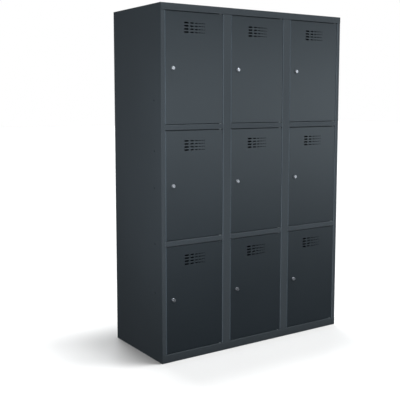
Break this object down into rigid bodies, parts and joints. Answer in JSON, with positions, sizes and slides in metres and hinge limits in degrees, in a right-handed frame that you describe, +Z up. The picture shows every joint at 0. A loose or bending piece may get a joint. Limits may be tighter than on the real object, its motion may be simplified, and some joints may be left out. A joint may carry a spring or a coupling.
{
  "type": "locker cabinet",
  "caption": "Free-standing sheet-steel locker cabinet with inset hinged doors, shrinking rows of vent slots and cylinder cam locks over closed compartments.",
  "frame": {"origin": "on the floor, in the middle of the footprint with the lock heads included", "axes": "+Z up; the doors face -Y; +X to the right as seen from the front"},
  "size_m": [1.19, 0.5074, 1.8],
  "materials": {
    "frame_paint": "anthracite powder coat, fine satin texture",
    "door_paint": "anthracite powder coat, fine satin texture",
    "chrome": "polished nickel-chrome plate",
    "steel": "zinc-plated steel",
    "nylon": "natural nylon",
    "rubber": "black rubber"
  },
  "bodies": {
    "cabinet": {"side_panel_left": "frame_paint", "side_panel_right": "frame_paint", "partition_left": "frame_paint", "partition_right": "frame_paint", "top_panel": "frame_paint", "base_panel": "frame_paint", "back_panel": "frame_paint", "shelf_middle_left": "frame_paint", "shelf_middle_centre": "frame_paint", "shelf_middle_right": "frame_paint", "shelf_upper_left": "frame_paint", "shelf_upper_centre": "frame_paint", "shelf_upper_right": "frame_paint", "hinge_bushes": "nylon", "door_buffers": "rubber"},
    "door_lower_left": {"door_panel_lower_left": "door_paint", "door_stiffener_lower_left": "door_paint", "hinge_pins_lower_left": "steel", "lock_body_lower_left": "chrome"},
    "lock_lower_left": {"lock_cam_lower_left": "chrome"},
    "door_lower_centre": {"door_panel_lower_centre": "door_paint", "door_stiffener_lower_centre": "door_paint", "hinge_pins_lower_centre": "steel", "lock_body_lower_centre": "chrome"},
    "lock_lower_centre": {"lock_cam_lower_centre": "chrome"},
    "door_lower_right": {"door_panel_lower_right": "door_paint", "door_stiffener_lower_right": "door_paint", "hinge_pins_lower_right": "steel", "lock_body_lower_right": "chrome"},
    "lock_lower_right": {"lock_cam_lower_right": "chrome"},
    "door_middle_left": {"door_panel_middle_left": "door_paint", "door_stiffener_middle_left": "door_paint", "hinge_pins_middle_left": "steel", "lock_body_middle_left": "chrome"},
    "lock_middle_left": {"lock_cam_middle_left": "chrome"},
    "door_middle_centre": {"door_panel_middle_centre": "door_paint", "door_stiffener_middle_centre": "door_paint", "hinge_pins_middle_centre": "steel", "lock_body_middle_centre": "chrome"},
    "lock_middle_centre": {"lock_cam_middle_centre": "chrome"},
    "door_middle_right": {"door_panel_middle_right": "door_paint", "door_stiffener_middle_right": "door_paint", "hinge_pins_middle_right": "steel", "lock_body_middle_right": "chrome"},
    "lock_middle_right": {"lock_cam_middle_right": "chrome"},
    "door_upper_left": {"door_panel_upper_left": "door_paint", "door_stiffener_upper_left": "door_paint", "hinge_pins_upper_left": "steel", "lock_body_upper_left": "chrome"},
    "lock_upper_left": {"lock_cam_upper_left": "chrome"},
    "door_upper_centre": {"door_panel_upper_centre": "door_paint", "door_stiffener_upper_centre": "door_paint", "hinge_pins_upper_centre": "steel", "lock_body_upper_centre": "chrome"},
    "lock_upper_centre": {"lock_cam_upper_centre": "chrome"},
    "door_upper_right": {"door_panel_upper_right": "door_paint", "door_stiffener_upper_right": "door_paint", "hinge_pins_upper_right": "steel", "lock_body_upper_right": "chrome"},
    "lock_upper_right": {"lock_cam_upper_right": "chrome"}
  },
  "joints": [
    {"name": "door_hinge_lower_left", "type": "hinge", "parent": "cabinet", "child": "door_lower_left", "pos_m": [-0.237, -0.23775, 0.321], "axis": [0, 0, 1], "range_deg": [0, 110]},
    {"name": "lock_turn_lower_left", "type": "hinge", "parent": "door_lower_left", "child": "lock_lower_left", "pos_m": [-0.527, -0.24475, 0.321], "axis": [0, 1, 0], "range_deg": [0, 90]},
    {"name": "door_hinge_lower_centre", "type": "hinge", "parent": "cabinet", "child": "door_lower_centre", "pos_m": [0.161, -0.23775, 0.321], "axis": [0, 0, 1], "range_deg": [0, 110]},
    {"name": "lock_turn_lower_centre", "type": "hinge", "parent": "door_lower_centre", "child": "lock_lower_centre", "pos_m": [-0.129, -0.24475, 0.321], "axis": [0, 1, 0], "range_deg": [0, 90]},
    {"name": "door_hinge_lower_right", "type": "hinge", "parent": "cabinet", "child": "door_lower_right", "pos_m": [0.559, -0.23775, 0.321], "axis": [0, 0, 1], "range_deg": [0, 110]},
    {"name": "lock_turn_lower_right", "type": "hinge", "parent": "door_lower_right", "child": "lock_lower_right", "pos_m": [0.269, -0.24475, 0.321], "axis": [0, 1, 0], "range_deg": [0, 90]},
    {"name": "door_hinge_middle_left", "type": "hinge", "parent": "cabinet", "child": "door_middle_left", "pos_m": [-0.237, -0.23775, 0.904], "axis": [0, 0, 1], "range_deg": [0, 110]},
    {"name": "lock_turn_middle_left", "type": "hinge", "parent": "door_middle_left", "child": "lock_middle_left", "pos_m": [-0.527, -0.24475, 0.904], "axis": [0, 1, 0], "range_deg": [0, 90]},
    {"name": "door_hinge_middle_centre", "type": "hinge", "parent": "cabinet", "child": "door_middle_centre", "pos_m": [0.161, -0.23775, 0.904], "axis": [0, 0, 1], "range_deg": [0, 110]},
    {"name": "lock_turn_middle_centre", "type": "hinge", "parent": "door_middle_centre", "child": "lock_middle_centre", "pos_m": [-0.129, -0.24475, 0.904], "axis": [0, 1, 0], "range_deg": [0, 90]},
    {"name": "door_hinge_middle_right", "type": "hinge", "parent": "cabinet", "child": "door_middle_right", "pos_m": [0.559, -0.23775, 0.904], "axis": [0, 0, 1], "range_deg": [0, 110]},
    {"name": "lock_turn_middle_right", "type": "hinge", "parent": "door_middle_right", "child": "lock_middle_right", "pos_m": [0.269, -0.24475, 0.904], "axis": [0, 1, 0], "range_deg": [0, 90]},
    {"name": "door_hinge_upper_left", "type": "hinge", "parent": "cabinet", "child": "door_upper_left", "pos_m": [-0.237, -0.23775, 1.487], "axis": [0, 0, 1], "range_deg": [0, 110]},
    {"name": "lock_turn_upper_left", "type": "hinge", "parent": "door_upper_left", "child": "lock_upper_left", "pos_m": [-0.527, -0.24475, 1.487], "axis": [0, 1, 0], "range_deg": [0, 90]},
    {"name": "door_hinge_upper_centre", "type": "hinge", "parent": "cabinet", "child": "door_upper_centre", "pos_m": [0.161, -0.23775, 1.487], "axis": [0, 0, 1], "range_deg": [0, 110]},
    {"name": "lock_turn_upper_centre", "type": "hinge", "parent": "door_upper_centre", "child": "lock_upper_centre", "pos_m": [-0.129, -0.24475, 1.487], "axis": [0, 1, 0], "range_deg": [0, 90]},
    {"name": "door_hinge_upper_right", "type": "hinge", "parent": "cabinet", "child": "door_upper_right", "pos_m": [0.559, -0.23775, 1.487], "axis": [0, 0, 1], "range_deg": [0, 110]},
    {"name": "lock_turn_upper_right", "type": "hinge", "parent": "door_upper_right", "child": "lock_upper_right", "pos_m": [0.269, -0.24475, 1.487], "axis": [0, 1, 0], "range_deg": [0, 90]}
  ]
}
